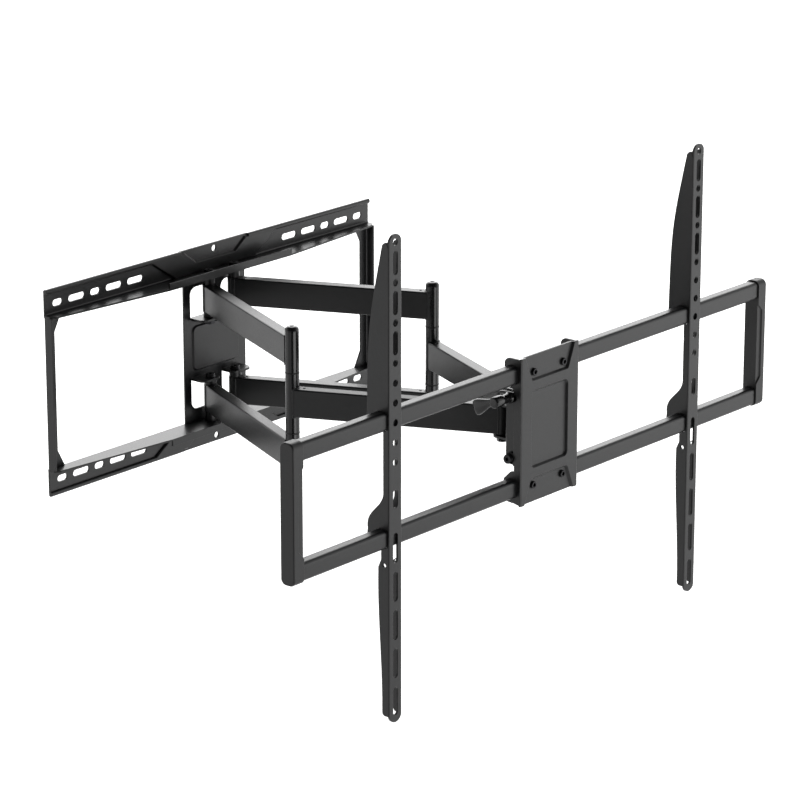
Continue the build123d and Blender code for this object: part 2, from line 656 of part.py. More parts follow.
def arc_band(half_w, lead, tail):
    """Closed band in the current YZ sketch along the clamp arc."""
    inner = clamp_radius - half_w
    outer = clamp_radius + half_w
    with BuildLine() as band:
        ThreePointArc(on_arc(-lead, outer), on_arc((tail - lead) / 2, outer), on_arc(tail, outer))
        ThreePointArc(on_arc(tail, inner), on_arc((tail - lead) / 2, inner), on_arc(-lead, inner))
        Line(on_arc(tail, outer), on_arc(tail, inner))
        Line(on_arc(-lead, inner), on_arc(-lead, outer))
    make_face(band.edges())
    with Locations(on_arc(-lead, clamp_radius), on_arc(tail, clamp_radius)):
        Circle(half_w)


EAR_BACK_Y = TUBE_BACK_Y + 3.2
CHEEK_BACK_Y = -569.5
CHEEK_ROOT_Y = PLATE_FRONT_Y + 1
LOBE_R = 7.2
upper_ear = [
    (CHEEK_ROOT_Y, 50),
    (CHEEK_ROOT_Y, PLATE_HALF_H - 1),
    (EAR_BACK_Y, PLATE_HALF_H - 1),
    (EAR_BACK_Y, 65),
    (CHEEK_BACK_Y, 56),
    (CHEEK_BACK_Y, 50),
]
lower_ear = [
    (CHEEK_ROOT_Y, -44),
    (CHEEK_BACK_Y - 1.5, -44),
    (CHEEK_BACK_Y - 1.5, -52),
    (CHEEK_BACK_Y + 4, -53),
    (EAR_BACK_Y, -64),
    (EAR_BACK_Y, -PLATE_HALF_H + 4),
    (CHEEK_ROOT_Y + 10, -PLATE_HALF_H + 3),
    (CHEEK_ROOT_Y, -PLATE_HALF_H + 1),
]
POCKET_TOP_Z = PLATE_HALF_H + 8
POCKET_TAPER = 35


def pocket_outlines(grown):
    """Two flared pockets that run off the plate's edges and one central pocket, grown by a margin."""
    flare_top = 53.9 + 1.08 * grown
    flare_foot = 37.5 + 0.68 * grown
    foot_z = 64.5 - grown
    upper = [
        (-flare_top, POCKET_TOP_Z),
        (-flare_foot, foot_z),
        (flare_foot, foot_z),
        (flare_top, POCKET_TOP_Z),
    ]
    with BuildSketch(Plane.XZ.offset(-PLATE_FRONT_Y)) as outlines:
        for up in (-1, 1):
            Polygon(*[(x, up * z) for x, z in upper], align=None)
        fillet(outlines.vertices(), radius=5)
        RectangleRounded(75 + 2 * grown, 103 + 2 * grown, 7 + grown)
    return outlines.sketch


with BuildPart() as tilt_plate:
    with BuildSketch(Plane.XZ.offset(-PLATE_FRONT_Y)):
        Rectangle(2 * PLATE_HALF_W, 2 * PLATE_HALF_H)
    extrude(amount=-HEAVY)
    side_edges = tilt_plate.edges().filter_by(Axis.Z).group_by(Axis.Y)[0]
    fillet(side_edges, radius=2.6)
    for side in (-1, 1):
        with BuildSketch(Plane.YZ.offset(side * PLATE_HALF_W)):
            Polygon(*upper_ear, align=None)
            Polygon(*lower_ear, align=None)
            fillet(vertices().filter_by(lambda v: v.X > EAR_BACK_Y - 0.1 and abs(v.Y) > 90), radius=8)
            with Locations(((CHEEK_ROOT_Y + CHEEK_BACK_Y) / 2, 3)):
                Rectangle(CHEEK_BACK_Y - CHEEK_ROOT_Y, 96)
            with Locations((TILT_Y, TILT_Z)):
                Circle(LOBE_R)
            with Locations(((CHEEK_BACK_Y + TILT_Y) / 2 - 1, TILT_Z)):
                Rectangle(TILT_Y - CHEEK_BACK_Y + 2, 2 * LOBE_R)
            with Locations(((CHEEK_BACK_Y + TILT_Y) / 2 - 1, CLAMP_Z)):
                Rectangle(TILT_Y - CHEEK_BACK_Y + 2, 2 * LOBE_R)
            arc_band(LOBE_R, TILT_BACK, TILT_FORWARD)
        extrude(amount=-side * HEAVY)
        with BuildSketch(Plane.YZ.offset(side * PLATE_HALF_W)):
            arc_band(BOLT_D / 2 + 0.4, TILT_BACK + 0.5, TILT_FORWARD + 0.5)
            with Locations((TILT_Y, TILT_Z)):
                Circle(BOLT_D / 2 + RUNNING_FIT)
        extrude(amount=-side * HEAVY, mode=Mode.SUBTRACT)
    with BuildSketch(Plane.YZ.offset(-PLATE_HALF_W - 1)):
        with Locations((TUBE_MID_Y, TUBE_Z), (TUBE_MID_Y, -TUBE_Z)):
            tube_section()
    extrude(amount=2 * PLATE_HALF_W + 2, mode=Mode.SUBTRACT)
    extrude(pocket_outlines(2.6), amount=-PLATE_RECESS - HEAVY, taper=POCKET_TAPER)
    extrude(pocket_outlines(0), amount=-PLATE_RECESS, taper=POCKET_TAPER, mode=Mode.SUBTRACT)
    with BuildSketch(Plane.XZ.offset(-PLATE_FRONT_Y)):
        with Locations((0, PLATE_HALF_H + 10), (0, -PLATE_HALF_H - 10)):
            Rectangle(140, 20)
    extrude(amount=-PLATE_RECESS - HEAVY - 1, mode=Mode.SUBTRACT)
    with BuildSketch(Plane.XZ.offset(-BRACKET_FACE_Y)):
        with GridLocations(2 * SCREW_X, 2 * TUBE_Z, 2, 2):
            Circle(3.2)
    extrude(amount=-HEAVY - 1, mode=Mode.SUBTRACT)
save(tilt_plate, "tilt_plate")

SCREW_HEAD_D = 10.0
SCREW_HEAD_H = 3.0
screw_face = Plane.XZ.offset(-BRACKET_FACE_Y)
with BuildPart() as plate_screws:
    with BuildSketch(screw_face):
        with GridLocations(2 * SCREW_X, 2 * TUBE_Z, 2, 2):
            Circle(SCREW_HEAD_D / 2)
    extrude(amount=SCREW_HEAD_H)
    chamfer(plate_screws.faces().sort_by(Axis.Y)[:4].edges(), length=0.7)
    with BuildSketch(screw_face):
        with GridLocations(2 * SCREW_X, 2 * TUBE_Z, 2, 2):
            Circle(3)
    extrude(amount=-HEAVY - 6)
    with BuildSketch(screw_face.offset(SCREW_HEAD_H)):
        with GridLocations(2 * SCREW_X, 2 * TUBE_Z, 2, 2):
            RegularPolygon(2.6, 6, major_radius=False)
    extrude(amount=-2.4, mode=Mode.SUBTRACT)
save(plate_screws, "plate_screws")


def build_end_cap(label, side):
    """Moulded cap that closes both tube ends, with a shallow relief along its inner front edge."""
    front = TUBE_FRONT_Y - CAP_SKIN
    depth = TUBE_D + 2 * CAP_SKIN
    relief = [(CAP_IN_X - 3, 61), (CAP_IN_X, 57), (CAP_RELIEF_X, 47)]
    relief += [(x, -z) for x, z in reversed(relief)]
    with BuildPart() as cap:
        with BuildSketch(Plane.YZ.offset(side * CAP_IN_X)):
            with Locations((TUBE_MID_Y, 0)):
                RectangleRounded(depth, 2 * CAP_HALF_H, 8)
        extrude(amount=side * (CAP_OUT_X - CAP_IN_X))
        outer_face = cap.faces().sort_by(Axis.X)[-1 if side > 0 else 0]
        fillet(outer_face.edges(), radius=1.8)
        with BuildSketch(Plane.XZ.offset(-front)):
            Polygon(*[(side * x, z) for x, z in relief], align=None)
        extrude(amount=-CAP_RELIEF, taper=35, mode=Mode.SUBTRACT)
        with BuildSketch(Plane.YZ.offset(side * (CAP_IN_X - 1))):
            with Locations((TUBE_MID_Y, TUBE_Z), (TUBE_MID_Y, -TUBE_Z)):
                tube_section()
        extrude(amount=side * (CAP_OUT_X - CAP_SKIN - CAP_IN_X + 1), mode=Mode.SUBTRACT)
    save(cap, label)


build_end_cap("left_end_cap", -1)
build_end_cap("right_end_cap", 1)


# ------------------------------------------------------------------ TV brackets
def bracket_flange(rear, notch_y, rise_z):
    """Outline of a bracket flange in the current YZ sketch, with a hook over each tube."""
    root = BRACKET_FRONT_Y + 1
    hook_back = TUBE_BACK_Y + APART
    with BuildLine() as outline:
        Polyline((root, 291), (root, -306), (-571.0, -306))
        ThreePointArc((-571.0, -306), (-568.3, -304.0), (-567.5, -300))
        Spline((-567.5, -300), (-565.5, -230), (-561.8, -160), (-561.5, -112))
        Polyline((-561.5, -112), (notch_y, -102), (notch_y, -82), (hook_back + 1, -82))
        Polyline((hook_back + 1, -82), (rear - 6, -80), (rear, -74), (rear - 1, -66))
        Spline((rear - 1, -66), (-550.5, rise_z - 33), (-562.5, rise_z - 20), (-569.5, rise_z))
        Polyline((-569.5, rise_z), (-569.5, 68), (hook_back + 1, 68), (rear - 5, 70), (rear, 77))
        Spline((rear, 77), (-544.5, 120), (-549.5, 200), (-557.5, 245), (-568.0, 294))
        ThreePointArc((-568.0, 294), (-571.0, 297.2), (-574.5, 298.0))
        Line((-574.5, 298.0), (root, 291))
    make_face(outline.edges())
    with Locations((TUBE_MID_Y, TUBE_Z), (TUBE_MID_Y, -TUBE_Z)):
        RectangleRounded(TUBE_D + 2 * APART, TUBE_H + 2 * APART, TUBE_R + APART, mode=Mode.SUBTRACT)


def build_tv_bracket(label, x):
    """Slotted channel with a curved flange on each side that hooks over both tubes."""
    face_mid = (BRACKET_TOP_Z + BRACKET_BOTTOM_Z) / 2
    length = BRACKET_TOP_Z - BRACKET_BOTTOM_Z
    half_w = BRACKET_W / 2
    with BuildPart() as bracket:
        with BuildSketch(Plane.XZ.offset(-BRACKET_FRONT_Y)):
            with Locations((x, face_mid)):
                SlotOverall(length, BRACKET_W - 1, rotation=90)
            with Locations((x, (291 - 304) / 2)):
                Rectangle(BRACKET_W, 291 + 304)
        extrude(amount=-HEAVY)
        for side, notch_y, rise_z in ((-1, -566.0, -12.0), (1, -575.0, -18.0)):
            with BuildSketch(Plane.YZ.offset(x + side * half_w)):
                bracket_flange(TUBE_BACK_Y + 14.0, notch_y, rise_z)
            extrude(amount=-side * HEAVY)
        bends = bracket.edges().filter_by(Axis.Z).group_by(Axis.Y)[0]
        bends = bends.filter_by(lambda e: e.length > 500)
        fillet(bends, radius=1.8)
        with BuildSketch(Plane.XZ.offset(-BRACKET_FRONT_Y)):
            for z in ROUND_Z:
                with Locations((x, z)):
                    Circle(HOLE_D / 2)
            for z, slot in SHORT_SLOTS + LONG_SLOTS:
                with Locations((x, z)):
                    SlotOverall(slot, HOLE_D, rotation=90)
        extrude(amount=-HEAVY, mode=Mode.SUBTRACT)
        with BuildSketch(Plane.YZ.offset(x - half_w)):
            with Locations((LOCK_HOLE_Y, LOCK_HOLE_Z)):
                Circle(LOCK_HOLE_D / 2)
        extrude(amount=BRACKET_W, mode=Mode.SUBTRACT)
    save(bracket, label)


for hand, x in zip(("left", "right"), BRACKET_X):
    build_tv_bracket(f"{hand}_tv_bracket", x)
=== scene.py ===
import json
import math

import bmesh
import bpy
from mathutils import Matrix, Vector


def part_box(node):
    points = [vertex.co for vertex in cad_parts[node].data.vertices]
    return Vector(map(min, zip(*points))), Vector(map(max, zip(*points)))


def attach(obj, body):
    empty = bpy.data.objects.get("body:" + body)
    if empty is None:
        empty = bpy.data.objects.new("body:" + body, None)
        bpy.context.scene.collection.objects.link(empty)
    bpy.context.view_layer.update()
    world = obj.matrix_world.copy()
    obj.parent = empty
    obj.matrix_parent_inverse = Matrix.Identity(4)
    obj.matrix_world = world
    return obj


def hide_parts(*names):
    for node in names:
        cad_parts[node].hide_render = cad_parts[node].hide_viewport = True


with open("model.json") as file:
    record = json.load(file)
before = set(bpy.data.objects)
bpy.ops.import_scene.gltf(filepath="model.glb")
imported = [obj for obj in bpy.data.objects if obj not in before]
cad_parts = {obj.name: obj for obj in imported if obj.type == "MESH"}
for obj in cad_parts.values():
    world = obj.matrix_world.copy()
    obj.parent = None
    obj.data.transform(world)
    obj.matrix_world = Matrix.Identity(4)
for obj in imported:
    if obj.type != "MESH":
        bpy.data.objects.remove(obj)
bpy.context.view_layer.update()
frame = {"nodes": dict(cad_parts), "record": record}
nodes = frame["nodes"]

MM = 0.001

# Main sizes of the mount, in metres
ARM_ANGLE = math.radians(24.7)
ARM_LENGTH = 280 * MM
PIVOT_X = 25 * MM
WALL_PIVOT_Y = -16 * MM
ELBOW_X = PIVOT_X + ARM_LENGTH * math.sin(ARM_ANGLE)
ELBOW_Y = WALL_PIVOT_Y - ARM_LENGTH * math.cos(ARM_ANGLE)
HEAD_Y = 2 * ELBOW_Y - WALL_PIVOT_Y
POST_RADIUS = 9.25 * MM
HANDS = (("left", -1), ("right", 1))

# ---------------------------------------------------------------- camera
CAMERA_PLACE = (-3.5377, -3.3088, 1.3998)
CAMERA_PITCH = math.radians(72.95)
CAMERA_HEADING = math.radians(-49.93)
SENSOR_WIDTH_MM = 36
LENS_MM = 165.5
CLIP_START = 0.05
CLIP_END = 60

camera = bpy.data.objects.new("camera", bpy.data.cameras.new("camera"))
bpy.context.scene.collection.objects.link(camera)
bpy.context.scene.camera = camera
camera.location = CAMERA_PLACE
camera.rotation_euler = (CAMERA_PITCH, 0, CAMERA_HEADING)
camera.data.sensor_width = SENSOR_WIDTH_MM
camera.data.lens = LENS_MM
camera.data.clip_start = CLIP_START
camera.data.clip_end = CLIP_END

# ---------------------------------------------------------------- materials
# Noise values outside this band are rare, so it is what gets mapped to a look's two ends.
NOISE_BAND = (0.3, 0.7)
BEVEL_SAMPLES = 6

# Each noise is a scale per metre and a detail, and each swing is how far it moves the roughness.
CLOUD_NOISE = (14, 3)
FINE_NOISE = (900, 2)
PEEL_NOISE = (420, 1)
MARK_NOISE = (2600, 2)
GRAIN_DETAIL = 3
COAT_SWING = (-0.05, 0.07)
GRAIN_SWING = (-0.04, 0.06)
MARK_SWING = (-0.06, 0.08)

# Powder coat: shades at the cloud's two ends, and the peel's bump
CLOUD_DARK = 0.86
CLOUD_LIGHT = 1.16
PEEL_STRENGTH = 0.22
PEEL_DEPTH = 0.12 * MM
COAT_EDGE = 0.8 * MM
COAT_BLACK = (0.0125, 0.0128, 0.0134)
COAT_ROUGHNESS = 0.33

# Arm sleeves: their own gloss, and where it starts and stops fading beyond the post's radius
SLEEVE_ROUGHNESS = 0.13
SLEEVE_FADE_START = 0.05 * MM
SLEEVE_FADE_END = 0.25 * MM

# Plastic's grain, then black oxide steel: its turning marks' bump and its worn edge
GRAIN_DEPTH = 0.1 * MM
MARK_STRENGTH = 0.12
MARK_DEPTH = 0.05 * MM
OXIDE_EDGE = 0.35 * MM


def material(name, colour, roughness, **inputs):
    """A new node material with its shader's plain inputs set, and its node tree and shader."""
    m = bpy.data.materials.new(name)
    m.use_nodes = True
    tree = m.node_tree
    shader = tree.nodes["Principled BSDF"]
    shader.inputs["Base Color"].default_value = (*colour, 1)
    shader.inputs["Roughness"].default_value = roughness
    for key, value in inputs.items():
        shader.inputs[key.replace("_", " ")].default_value = value
    return m, tree, shader


def node(tree, kind, **settings):
    """A shader node with its inputs set by name."""
    n = tree.nodes.new(kind)
    for key, value in settings.items():
        n.inputs[key.replace("_", " ")].default_value = value
    return n


def maths(tree, operation, first, second):
    """The sum, product or other operation of two values."""
    n = tree.nodes.new("ShaderNodeMath")
    n.operation = operation
    tree.links.new(first, n.inputs[0])
    tree.links.new(second, n.inputs[1])
    return n.outputs[0]


def vector_maths(tree, operation, first, second):
    """A node that works on a linked vector and a fixed one."""
    n = tree.nodes.new("ShaderNodeVectorMath")
    n.operation = operation
    n.inputs[1].default_value = second
    tree.links.new(first, n.inputs[0])
    return n


def position(tree):
    """Object-space position, which keeps a texture fixed to its piece as the mount moves."""
    return tree.nodes.new("ShaderNodeTexCoord").outputs["Object"]


def noise(tree, where, scale, detail):
    """A noise texture's value at a scale per metre."""
    n = node(tree, "ShaderNodeTexNoise", Scale=scale, Detail=detail)
    tree.links.new(where, n.inputs["Vector"])
    return n.outputs["Fac"]


def spread(tree, value, low, high, first, second):
    """Value from low..high mapped to first..second."""
    n = node(tree, "ShaderNodeMapRange", From_Min=low, From_Max=high, To_Min=first, To_Max=second)
    tree.links.new(value, n.inputs["Value"])
    return n.outputs["Result"]


def tint(tree, factor, first, second):
    """Colour from first to second by a factor."""
    n = tree.nodes.new("ShaderNodeMix")
    n.data_type = "RGBA"
    n.inputs["A"].default_value = (*first, 1)
    n.inputs["B"].default_value = (*second, 1)
    tree.links.new(factor, n.inputs["Factor"])
    return n.outputs["Result"]


def vary_gloss(tree, shader, value, roughness, swing):
    """Roughness that follows a noise, within a swing about its middle."""
    varied = spread(tree, value, *NOISE_BAND, roughness + swing[0], roughness + swing[1])
    tree.links.new(varied, shader.inputs["Roughness"])


def rounded(tree, shader, height, strength, distance, radius):
    """Bump from a height, on normals rounded at the edges."""
    edge = node(tree, "ShaderNodeBevel", Radius=radius)
    edge.samples = BEVEL_SAMPLES
    bump = node(tree, "ShaderNodeBump", Strength=strength, Distance=distance)
    tree.links.new(height, bump.inputs["Height"])
    tree.links.new(edge.outputs["Normal"], bump.inputs["Normal"])
    tree.links.new(bump.outputs["Normal"], shader.inputs["Normal"])


def powder_coat(name, base, roughness, grain=1.0, edge=COAT_EDGE):
    """Satin powder coat: fine orange peel, faint cloudiness in colour and gloss."""
    m, tree, shader = material(name, base, roughness, Specular_IOR_Level=0.5)
    where = position(tree)
    cloud = noise(tree, where, *CLOUD_NOISE)
    fine = noise(tree, where, *FINE_NOISE)
    peel = noise(tree, where, *PEEL_NOISE)
    dark = tuple(c * CLOUD_DARK for c in base)
    light = tuple(c * CLOUD_LIGHT for c in base)
    shade = tint(tree, spread(tree, cloud, *NOISE_BAND, 0, 1), dark, light)
    tree.links.new(shade, shader.inputs["Base Color"])
    vary_gloss(tree, shader, fine, roughness, COAT_SWING)
    rounded(tree, shader, maths(tree, "ADD", fine, peel), PEEL_STRENGTH * grain, PEEL_DEPTH, edge)
    return m


def arm_coat(name, axis_x, axis_y):
    """Powder coat of an arm, smoother and glossier on the round sleeve about its elbow."""
    m = powder_coat(name, COAT_BLACK, COAT_ROUGHNESS)
    tree = m.node_tree
    shader = tree.nodes["Principled BSDF"]
    plan = vector_maths(tree, "MULTIPLY", position(tree), (1, 1, 0))
    away = vector_maths(tree, "DISTANCE", plan.outputs["Vector"], (axis_x, axis_y, 0))
    inner = POST_RADIUS + SLEEVE_FADE_START
    outer = POST_RADIUS + SLEEVE_FADE_END
    sleeve = spread(tree, away.outputs["Value"], inner, outer, 1, 0)
    flat_roughness = shader.inputs["Roughness"].links[0].from_socket
    blend = tree.nodes.new("ShaderNodeMix")
    blend.inputs["B"].default_value = SLEEVE_ROUGHNESS
    tree.links.new(sleeve, blend.inputs["Factor"])
    tree.links.new(flat_roughness, blend.inputs["A"])
    tree.links.new(blend.outputs["Result"], shader.inputs["Roughness"])
    return m


def moulded(name, base, roughness, scale, strength, edge):
    """Moulded black plastic with a light spark-eroded grain."""
    m, tree, shader = material(name, base, roughness)
    grain = noise(tree, position(tree), scale, GRAIN_DETAIL)
    vary_gloss(tree, shader, grain, roughness, GRAIN_SWING)
    rounded(tree, shader, grain, strength, GRAIN_DEPTH, edge)
    return m


def oxide(name, base, roughness, metallic):
    """Black oxide steel, with fine turning marks in its gloss."""
    m, tree, shader = material(name, base, roughness, Metallic=metallic)
    marks = noise(tree, position(tree), *MARK_NOISE)
    vary_gloss(tree, shader, marks, roughness, MARK_SWING)
    rounded(tree, shader, marks, MARK_STRENGTH, MARK_DEPTH, OXIDE_EDGE)
    return m


arm_coats = {hand: arm_coat(f"{hand}_arm_coat", side * ELBOW_X, ELBOW_Y) for hand, side in HANDS}
looks = {
    "powder_coat": powder_coat("coat", COAT_BLACK, COAT_ROUGHNESS),
    "lever_coat": powder_coat("lever_coat", (0.007, 0.007, 0.0075), 0.16, grain=0.3, edge=0.6 * MM),
    "cap_plastic": moulded("caps", (0.013, 0.013, 0.0135), 0.42, scale=1500, strength=0.25, edge=0.6 * MM),
    "bush_plastic": moulded("nylon", (0.010, 0.010, 0.0105), 0.36, scale=700, strength=0.1, edge=0.3 * MM),
    "gloss_plastic": moulded("gloss", (0.008, 0.008, 0.0085), 0.16, scale=300, strength=0.03, edge=0.4 * MM),
    "fasteners": oxide("steel", (0.030, 0.030, 0.032), 0.28, metallic=0.85),
}
for part in frame["record"]["subparts"]:
    name = part["node"]
    look = arm_coats[name.split("_")[0]] if name.endswith("_arm") else looks[part["material_slot"]]
    for slot in nodes[name].material_slots:
        slot.material = look

# ---------------------------------------------------------------- made pieces
# A path whose step is within this share of upright has no sideways direction of its own.
UPRIGHT_SHARE = 0.01


def skin(name, rings, body, slot):
    """A closed, smooth-shaded piece through rings of points."""
    mesh = bpy.data.meshes.new(name)
    bm = bmesh.new()
    loops = [[bm.verts.new(point) for point in ring] for ring in rings]
    sides = len(loops[0])
    for first, second in zip(loops, loops[1:]):
        for k in range(sides):
            bm.faces.new((first[k], first[(k + 1) % sides], second[(k + 1) % sides], second[k]))
    bm.faces.new(loops[0][::-1])
    bm.faces.new(loops[-1])
    bmesh.ops.recalc_face_normals(bm, faces=bm.faces)
    bm.to_mesh(mesh)
    bm.free()
    for face in mesh.polygons:
        face.use_smooth = True
    piece = bpy.data.objects.new(name, mesh)
    bpy.context.scene.collection.objects.link(piece)
    mesh.materials.append(looks[slot])
    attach(piece, body)
    return piece


def ring_angles(sides):
    """The angles of an even ring."""
    return [2 * math.pi * k / sides for k in range(sides)]


def rope(name, path, radii, body, slot, sides):
    """A closed-ended round piece along a path, with its own radius at each point."""
    rings = []
    for i, point in enumerate(path):
        ahead = path[min(i + 1, len(path) - 1)] - path[max(i - 1, 0)]
        across = ahead.cross(Vector((0, 0, 1)))
        if across.length < UPRIGHT_SHARE * ahead.length:
            across = Vector((1, 0, 0))
        across.normalize()
        up = across.cross(ahead).normalized()
        ring = []
        for angle in ring_angles(sides):
            ring.append(point + radii[i] * (math.cos(angle) * across + math.sin(angle) * up))
        rings.append(ring)
    skin(name, rings, body, slot)


# ---------------------------------------------------------------- welds
BEAD_RADIUS = 1.15 * MM
BEAD_RIPPLE = 1.7 * MM
BEAD_STEP = 0.42 * MM
BEAD_SIDES = 8

# A bead's radius is a share that is always there, with ripples and a slow drift on top.
SOLID_SHARE = 0.80
RIPPLE_SHARE = 0.20
DRIFT_SHARE = 0.08
DRIFT_RATES = (0.13, 0.041)

# A weld runs this far round the sleeve to each side, with its middle just outside the sleeve.
WELD_REACH = math.radians(72)
WELD_STAND_OFF = 0.25 * MM
WELD_ARC_STEPS = 16

# Heights of the rear arms' upper pair and of the front arms, and how far a side weld stops short
REAR_LOW = 51.5 * MM
REAR_HIGH = 89.5 * MM
FRONT_LOW = -18 * MM
FRONT_HIGH = 20 * MM
END_INSET = 1.2 * MM


def evenly(corners, step):
    """Points at an even step along straight runs between corners."""
    points = []
    for first, second in zip(corners, corners[1:]):
        count = max(2, round((second - first).length / step))
        points += [first.lerp(second, k / count) for k in range(count)]
    return points + [corners[-1]]


def bead(name, corners, body):
    """A rippled weld bead through corners."""
    path = evenly(corners, BEAD_STEP)
    radii = []
    for k in range(len(path)):
        ripple = abs(math.sin(math.pi * k * BEAD_STEP / BEAD_RIPPLE))
        drift = math.sin(DRIFT_RATES[0] * k) * math.sin(DRIFT_RATES[1] * k)
        radii.append(BEAD_RADIUS * (SOLID_SHARE + RIPPLE_SHARE * ripple + DRIFT_SHARE * drift))
    rope(name, path, radii, body, "powder_coat", BEAD_SIDES)


def sleeve_weld(name, centre, toward, low_z, high_z, body, over_ends):
    """Welds where an arm's tube meets a round sleeve: up each side and, if wanted, over its ends."""
    heading = math.atan2(toward[1] - centre[1], toward[0] - centre[0])
    radius = POST_RADIUS + WELD_STAND_OFF

    def on_sleeve(angle, z):
        x = centre[0] + radius * math.cos(heading + angle)
        y = centre[1] + radius * math.sin(heading + angle)
        return Vector((x, y, z))

    if over_ends:
        arc = [-WELD_REACH + 2 * WELD_REACH * k / WELD_ARC_STEPS for k in range(WELD_ARC_STEPS + 1)]
        loop = [on_sleeve(a, high_z) for a in arc] + [on_sleeve(a, low_z) for a in reversed(arc)]
        bead(name, loop + [loop[0]], body)
    else:
        for letter, angle in (("a", -WELD_REACH), ("b", WELD_REACH)):
            bead(f"{name}_{letter}", [on_sleeve(angle, low_z), on_sleeve(angle, high_z)], body)


for hand, side in HANDS:
    wall = (side * PIVOT_X, WALL_PIVOT_Y)
    elbow = (side * ELBOW_X, ELBOW_Y)
    head = (side * PIVOT_X, HEAD_Y)
    rear, front = f"{hand}_rear_link", f"{hand}_front_link"
    for tier, low_z, high_z in (("upper", REAR_LOW, REAR_HIGH), ("lower", -REAR_HIGH, -REAR_LOW)):
        inset_low, inset_high = low_z + END_INSET, high_z - END_INSET
        sleeve_weld(f"{hand}_{tier}_elbow_weld", elbow, wall, low_z, high_z, rear, True)
        sleeve_weld(f"{hand}_{tier}_wall_weld", wall, elbow, inset_low, inset_high, rear, False)
    inset_low, inset_high = FRONT_LOW + END_INSET, FRONT_HIGH - END_INSET
    sleeve_weld(f"{hand}_front_elbow_weld", elbow, head, FRONT_LOW, FRONT_HIGH, front, True)
    sleeve_weld(f"{hand}_front_head_weld", head, elbow, inset_low, inset_high, front, False)

# ---------------------------------------------------------------- threads
THREAD_PITCH = 1.25 * MM
THREAD_STEPS = 28
THREAD_LEAD = 0.4 * MM
BOLT_RADIUS = 4 * MM
RIDGE_RADIUS = 0.36 * MM
RIDGE_SIDES = 6


def thread(name, x, y, top_z, bottom_z, body):
    """A helical ridge on the end of a bolt that stands below its nut."""
    count = round((top_z - bottom_z) / THREAD_PITCH * THREAD_STEPS)
    path = []
    for k in range(count + 1):
        turn = 2 * math.pi * k / THREAD_STEPS
        z = bottom_z + (top_z - bottom_z) * k / count
        path.append(Vector((x + BOLT_RADIUS * math.cos(turn), y + BOLT_RADIUS * math.sin(turn), z)))
    rope(name, path, [RIDGE_RADIUS] * len(path), body, "fasteners", RIDGE_SIDES)


for nuts, bolts, y, body in (("wall_pivot_nuts", "wall_pivot_bolts", WALL_PIVOT_Y, "wall_plate"),
                             ("head_pivot_nuts", "head_pivot_bolts", HEAD_Y, "head")):
    nut_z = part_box(nuts)[0][2]
    end_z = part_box(bolts)[0][2]
    for hand, side in HANDS:
        if nut_z - end_z > THREAD_PITCH:
            thread(f"{hand}_{body}_thread", side * PIVOT_X, y, nut_z, end_z + THREAD_LEAD, body)

# ---------------------------------------------------------------- clamp lever
LEVER_AXIS_Y = -563.5 * MM
LEVER_AXIS_Z = 45 * MM
HUB_SIDES = 16
HANDLE_X_MM = -88.4
HANDLE_LEAN = math.radians(24)
HANDLE_SIDES = 12
SQUARENESS = 0.6
SMOOTH_LEVELS = 2

# The hub is a stepped, waisted turning on the stud; each pair is a distance along X and a radius, in mm.
HUB_PROFILE = (
    (-59.7, 7.4), (-60.0, 8.1), (-61.9, 8.1), (-62.8, 6.4), (-73.5, 6.1), (-75.3, 6.6),
    (-76.8, 7.8), (-90.5, 7.9), (-92.3, 7.3), (-92.9, 5.2), (-92.9, 2.0),
)

# The handle swells from a slim neck to a blunt, drooping end; Y, Z, half height and half width, in mm.
HANDLE_STATIONS = (
    (-563.5, 45.0, 5.4, 3.6), (-558.0, 44.0, 5.2, 3.5), (-552.5, 42.0, 5.6, 3.5), (-546.0, 38.8, 8.0, 4.0),
    (-540.0, 36.0, 10.0, 4.3), (-535.0, 33.6, 11.0, 4.3), (-532.2, 32.2, 10.4, 3.9), (-531.0, 31.6, 7.0, 2.6),
)


def moulding(name, rings):
    """A piece of the lever, smoothed by subdivision."""
    piece = skin(name, rings, "lever", "lever_coat")
    smooth = piece.modifiers.new("smooth", "SUBSURF")
    smooth.levels = SMOOTH_LEVELS
    smooth.render_levels = SMOOTH_LEVELS
    return piece


def squared(value):
    """A sine or cosine drawn out toward a squarer outline."""
    return math.copysign(abs(value) ** SQUARENESS, value)


hub_rings = []
for along_x, radius in HUB_PROFILE:
    ring = []
    for turn in ring_angles(HUB_SIDES):
        y = LEVER_AXIS_Y + radius * MM * math.cos(turn)
        z = LEVER_AXIS_Z + radius * MM * math.sin(turn)
        ring.append(Vector((along_x * MM, y, z)))
    hub_rings.append(ring)
hub = moulding("lever_hub", hub_rings)
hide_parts("clamp_lever")

handle_rings = []
for y, z, half_height, half_width in HANDLE_STATIONS:
    ring = []
    for turn in ring_angles(HANDLE_SIDES):
        x = HANDLE_X_MM + half_width * squared(math.cos(turn))
        up = half_height * squared(math.sin(turn))
        lean_y = up * math.sin(HANDLE_LEAN)
        lean_z = up * math.cos(HANDLE_LEAN)
        ring.append(Vector((x * MM, (y + lean_y) * MM, (z + lean_z) * MM)))
    handle_rings.append(ring)
moulding("lever_handle", handle_rings)

# ---------------------------------------------------------------- floor
FLOOR_Z = -1.15
FLOOR_SIZE = 40
FLOOR_SHADE = 0.92
FLOOR_GLOW = 0.26
MATT = 0.9


def sheet(name, corners, look):
    """A staged four-cornered sheet."""
    mesh = bpy.data.meshes.new(name)
    mesh.from_pydata(corners, [], [(0, 1, 2, 3)])
    mesh.materials.append(look)
    piece = bpy.data.objects.new(name, mesh)
    bpy.context.scene.collection.objects.link(piece)
    return piece


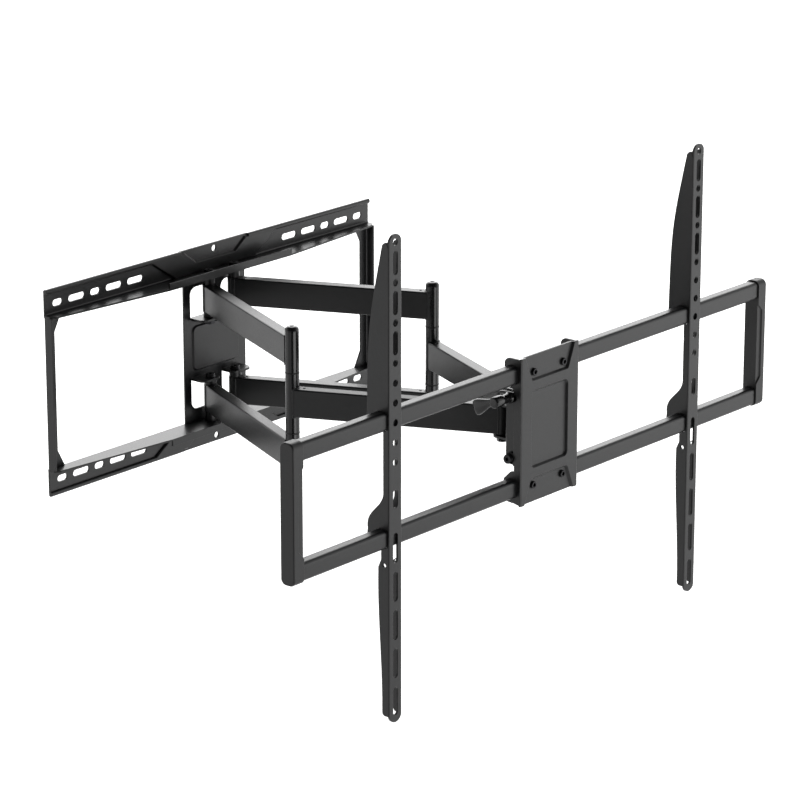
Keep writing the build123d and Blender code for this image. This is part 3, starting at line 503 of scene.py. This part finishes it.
corner_signs = ((-1, -1), (1, -1), (1, 1), (-1, 1))
floor_look, _, floor_shader = material("floor", (FLOOR_SHADE,) * 3, MATT, Specular_IOR_Level=0.0)
floor_shader.inputs["Emission Color"].default_value = (1, 1, 1, 1)
floor_shader.inputs["Emission Strength"].default_value = FLOOR_GLOW
sheet("floor", [(i * FLOOR_SIZE, j * FLOOR_SIZE, FLOOR_Z) for i, j in corner_signs], floor_look)

# ---------------------------------------------------------------- world
# The studio is bright low down behind the mount, and dark overhead and on the camera's side.
# Each row is where a direction's measure starts and stops changing, and the light at each end.
AWAY = (0.77, 0.64, 0)
BEHIND_LIGHT = (-0.6, 0.4, 0.06, 1.15)
OVERHEAD_LIGHT = (0.38, 0.75, 1.0, 0.16)
BACKDROP = 1.0

world = bpy.data.worlds.new("world")
world.use_nodes = True
bpy.context.scene.world = world
sky = world.node_tree
direction = sky.nodes.new("ShaderNodeTexCoord").outputs["Generated"]
along = vector_maths(sky, "DOT_PRODUCT", direction, AWAY)
split = sky.nodes.new("ShaderNodeSeparateXYZ")
sky.links.new(direction, split.inputs[0])
behind = spread(sky, along.outputs["Value"], *BEHIND_LIGHT)
overhead = spread(sky, split.outputs["Z"], *OVERHEAD_LIGHT)
graded = maths(sky, "MULTIPLY", behind, overhead)

# The backdrop itself is plain white, and only its light on the mount is graded.
backdrop = sky.nodes.new("ShaderNodeMix")
backdrop.inputs["B"].default_value = BACKDROP
camera_ray = sky.nodes.new("ShaderNodeLightPath").outputs["Is Camera Ray"]
sky.links.new(camera_ray, backdrop.inputs["Factor"])
sky.links.new(graded, backdrop.inputs["A"])
background = sky.nodes["Background"]
background.inputs["Color"].default_value = (1, 1, 1, 1)
sky.links.new(backdrop.outputs["Result"], background.inputs["Strength"])


# ---------------------------------------------------------------- lamps
def soft_light(name, place, target, size, power):
    """A rectangular light aimed at a point, its size in metres and its power in watts."""
    data = bpy.data.lights.new(name, "AREA")
    data.shape = "RECTANGLE"
    data.size, data.size_y = size
    data.energy = power
    lamp = bpy.data.objects.new(name, data)
    bpy.context.scene.collection.objects.link(lamp)
    lamp.visible_camera = False
    lamp.location = place
    aim = Vector(target) - Vector(place)
    lamp.rotation_euler = aim.to_track_quat("-Z", "Y").to_euler()


soft_light("front_box", (2.5, -2.6, -0.15), (0, -0.4, -0.1), (2.6, 1.9), 17)
soft_light("low_box", (-0.35, -3.1, -0.55), (-0.1, -0.3, -0.1), (2.0, 1.1), 15)
soft_light("left_box", (-2.7, 2.1, -0.35), (0, -0.3, 0), (2.6, 1.5), 5.5)
soft_light("back_ceiling", (4.8, 4.0, 1.9), (4.8, 4.0, -1), (8.4, 7.4), 500)

# ---------------------------------------------------------------- black card
# It stands between the camera and the mount, and keeps the middle of each round post dark.
CARD_X, CARD_Y = -1.30, -1.40
CARD_HALF_W = 0.42
CARD_RUN = (0.64, -0.77)
CARD_TOP_Z = 0.15
CARD_SHADE = 0.01

run_x, run_y = CARD_RUN[0] * CARD_HALF_W, CARD_RUN[1] * CARD_HALF_W
card_heights = {-1: FLOOR_Z, 1: CARD_TOP_Z}
card_corners = [(CARD_X + i * run_x, CARD_Y + i * run_y, card_heights[j]) for i, j in corner_signs]
card_look = material("black_card", (CARD_SHADE,) * 3, MATT, Specular_IOR_Level=0.0)[0]
card = sheet("black_card", card_corners, card_look)
card.visible_camera = False
card.visible_shadow = False

bpy.context.scene.view_settings.view_transform = "Standard"
